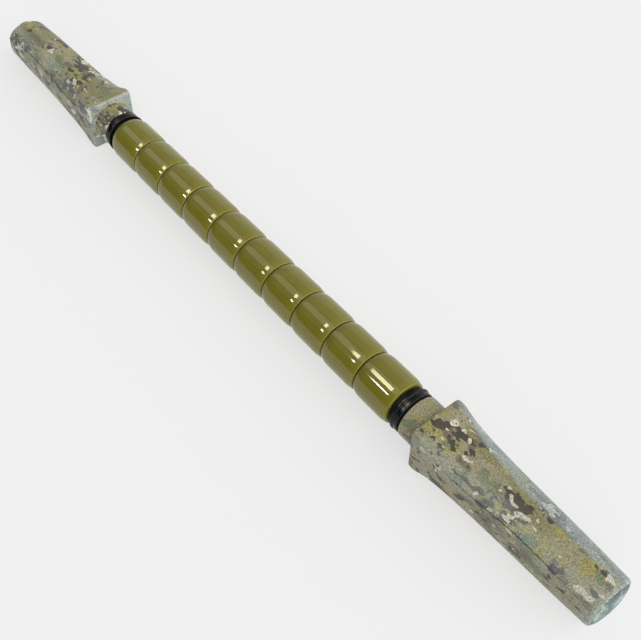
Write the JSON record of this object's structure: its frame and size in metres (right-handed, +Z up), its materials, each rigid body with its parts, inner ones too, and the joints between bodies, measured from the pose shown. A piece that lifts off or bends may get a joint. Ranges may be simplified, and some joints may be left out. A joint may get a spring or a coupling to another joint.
{
  "type": "roller massage stick",
  "caption": "Roller massage stick: free-turning moulded rollers on a rod between camouflage grips with square flares.",
  "frame": {"origin": "on the floor under the middle of the stick; the axis of the rod is 15 mm above it", "axes": "+X along the rod towards the right-hand grip, +Z up; the grips' square flares stand on z = 0 with their sides along Y and Z"},
  "size_m": [0.508, 0.0308, 0.03],
  "materials": {
    "rod_plastic": "extruded black plastic rod",
    "roller_olive": "moulded olive plastic, polished",
    "ring_matt_black": "moulded, matt",
    "collar_gloss_black": "moulded, polished",
    "seal_black": "plain rubber",
    "grip_camouflage": null,
    "liner_plastic": "moulded, plain",
    "pin_steel": "drawn steel"
  },
  "bodies": {
    "core": {"core_rod": "rod_plastic", "right_thrust_ring": "ring_matt_black", "right_stop_collar": "collar_gloss_black", "right_seal_ring": "seal_black", "right_grip_shell": "grip_camouflage", "right_grip_liner": "liner_plastic", "right_cross_pin": "pin_steel", "left_thrust_ring": "ring_matt_black", "left_stop_collar": "collar_gloss_black", "left_seal_ring": "seal_black", "left_grip_shell": "grip_camouflage", "left_grip_liner": "liner_plastic", "left_cross_pin": "pin_steel"},
    "roller_01_body": {"roller_01": "roller_olive"},
    "roller_02_body": {"roller_02": "roller_olive"},
    "roller_03_body": {"roller_03": "roller_olive"},
    "roller_04_body": {"roller_04": "roller_olive"},
    "roller_05_body": {"roller_05": "roller_olive"},
    "roller_06_body": {"roller_06": "roller_olive"},
    "roller_07_body": {"roller_07": "roller_olive"},
    "roller_08_body": {"roller_08": "roller_olive"},
    "roller_09_body": {"roller_09": "roller_olive"},
    "roller_10_body": {"roller_10": "roller_olive"}
  },
  "joints": [
    {"name": "roller_01_spin", "type": "hinge", "parent": "core", "child": "roller_01_body", "pos_m": [-0.1125, 0, 0.015], "axis": [1, 0, 0], "continuous": true},
    {"name": "roller_02_spin", "type": "hinge", "parent": "core", "child": "roller_02_body", "pos_m": [-0.0875, 0, 0.015], "axis": [1, 0, 0], "continuous": true},
    {"name": "roller_03_spin", "type": "hinge", "parent": "core", "child": "roller_03_body", "pos_m": [-0.0625, 0, 0.015], "axis": [1, 0, 0], "continuous": true},
    {"name": "roller_04_spin", "type": "hinge", "parent": "core", "child": "roller_04_body", "pos_m": [-0.0375, 0, 0.015], "axis": [1, 0, 0], "continuous": true},
    {"name": "roller_05_spin", "type": "hinge", "parent": "core", "child": "roller_05_body", "pos_m": [-0.0125, 0, 0.015], "axis": [1, 0, 0], "continuous": true},
    {"name": "roller_06_spin", "type": "hinge", "parent": "core", "child": "roller_06_body", "pos_m": [0.0125, 0, 0.015], "axis": [1, 0, 0], "continuous": true},
    {"name": "roller_07_spin", "type": "hinge", "parent": "core", "child": "roller_07_body", "pos_m": [0.0375, 0, 0.015], "axis": [1, 0, 0], "continuous": true},
    {"name": "roller_08_spin", "type": "hinge", "parent": "core", "child": "roller_08_body", "pos_m": [0.0625, 0, 0.015], "axis": [1, 0, 0], "continuous": true},
    {"name": "roller_09_spin", "type": "hinge", "parent": "core", "child": "roller_09_body", "pos_m": [0.0875, 0, 0.015], "axis": [1, 0, 0], "continuous": true},
    {"name": "roller_10_spin", "type": "hinge", "parent": "core", "child": "roller_10_body", "pos_m": [0.1125, 0, 0.015], "axis": [1, 0, 0], "continuous": true}
  ]
}
